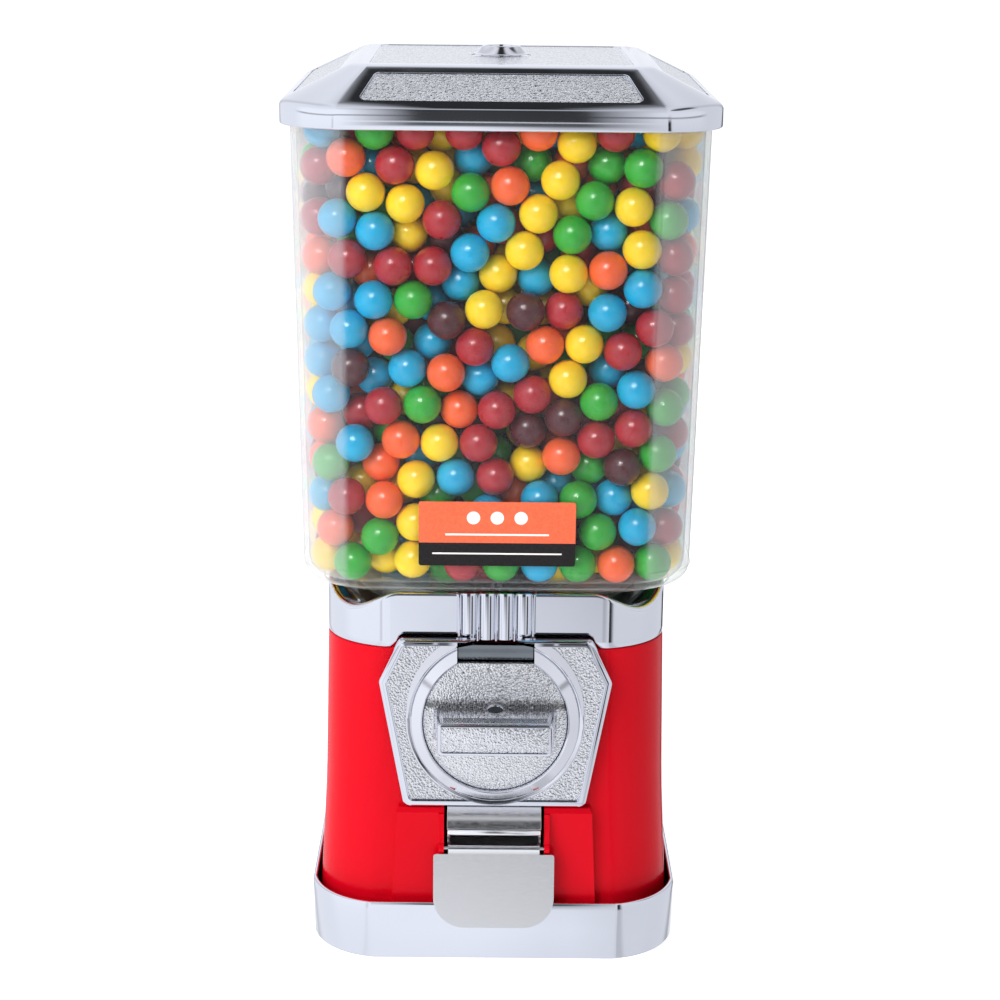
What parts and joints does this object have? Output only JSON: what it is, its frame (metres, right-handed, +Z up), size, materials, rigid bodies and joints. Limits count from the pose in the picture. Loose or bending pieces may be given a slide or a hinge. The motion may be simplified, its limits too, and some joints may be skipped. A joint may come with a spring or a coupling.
{
  "type": "gumball machine",
  "caption": "Countertop gumball vending machine with a clear square hopper, plated lid, collar and tray, red body, coin mechanism with turning handle, pocketed dispensing wheel and hinged flap",
  "frame": {"origin": "on the centre rod's axis at the tray's flat underside", "axes": "+Z up, the coin handle faces -Y, +X to the right seen from the handle side"},
  "size_m": [0.2, 0.21, 0.43],
  "materials": {
    "chrome": "bright plated",
    "textured_chrome": "plated over a fine cast grain",
    "red_plastic": "glossy",
    "clear_plastic": "clear, polished",
    "stainless": "satin",
    "zinc": "as cast",
    "steel": "bright zinc plated",
    "white_nylon": "satin",
    "black_plastic": "satin",
    "brass": "turned",
    "label": "printed film"
  },
  "bodies": {
    "base": {"base_tray": "chrome", "body_shell": "red_plastic", "collar": "chrome", "hopper": "clear_plastic", "front_label": "label", "centre_rod": "steel", "rod_base_washer": "steel", "rod_base_nut": "steel", "rod_bushing": "brass", "rod_catch": "steel", "wheel_housing": "zinc", "housing_screw_1": "steel", "housing_screw_2": "steel", "housing_screw_3": "steel", "housing_screw_4": "steel", "brush_cover": "clear_plastic", "brush_screw": "steel", "brush_strip": "black_plastic", "mech_faceplate": "textured_chrome", "mech_screw_1": "steel", "mech_screw_2": "steel", "mech_screw_3": "steel", "mech_screw_4": "steel", "mech_housing": "zinc", "pawl_pin": "steel", "pawl_spring": "steel", "drop_tube": "white_nylon", "chute_trough": "stainless", "chute_hood": "stainless", "flap_pin": "steel", "coin_box": "black_plastic"},
    "handle": {"coin_handle": "textured_chrome", "coin_carrier": "zinc", "ratchet_wheel": "steel", "drive_shaft": "steel", "drive_pinion": "zinc", "pinion_nut": "steel"},
    "wheel": {"candy_wheel": "white_nylon", "crown_gear": "black_plastic", "agitator": "white_nylon"},
    "pawl": {"ratchet_pawl": "steel"},
    "flap": {"chute_flap": "stainless"},
    "lid": {"lid": "chrome", "lock_bezel": "chrome", "lock_ring_nut": "brass"},
    "lock": {"lock_plug": "steel", "lock_hook": "steel"}
  },
  "joints": [
    {"name": "handle_turn", "type": "hinge", "parent": "base", "child": "handle", "pos_m": [0, -0.088, 0.1197], "axis": [0, 1, 0], "continuous": true},
    {"name": "wheel_turn", "type": "hinge", "parent": "base", "child": "wheel", "pos_m": [0, 0, 0.1588], "axis": [0, 0, 1], "continuous": true},
    {"name": "pawl_rock", "type": "hinge", "parent": "base", "child": "pawl", "pos_m": [0.024, -0.0781, 0.112], "axis": [0, 1, 0], "range_deg": [0, 12], "stiffness_Nm_per_rad": 0.004, "springref_deg": -11.46},
    {"name": "flap_swing", "type": "hinge", "parent": "base", "child": "flap", "pos_m": [0, -0.0918, 0.057], "axis": [-1, 0, 0], "range_deg": [0, 75]},
    {"name": "lid_lift", "type": "slide", "parent": "base", "child": "lid", "axis": [0, 0, 1], "range_m": [0, 0.12]},
    {"name": "lock_turn", "type": "hinge", "parent": "lid", "child": "lock", "pos_m": [0, 0, 0.4184], "axis": [0, 0, 1], "range_deg": [0, 90]}
  ],
  "couplings": [
    {"joint": "wheel_turn", "follows": "handle_turn", "ratio": 0.16667}
  ]
}
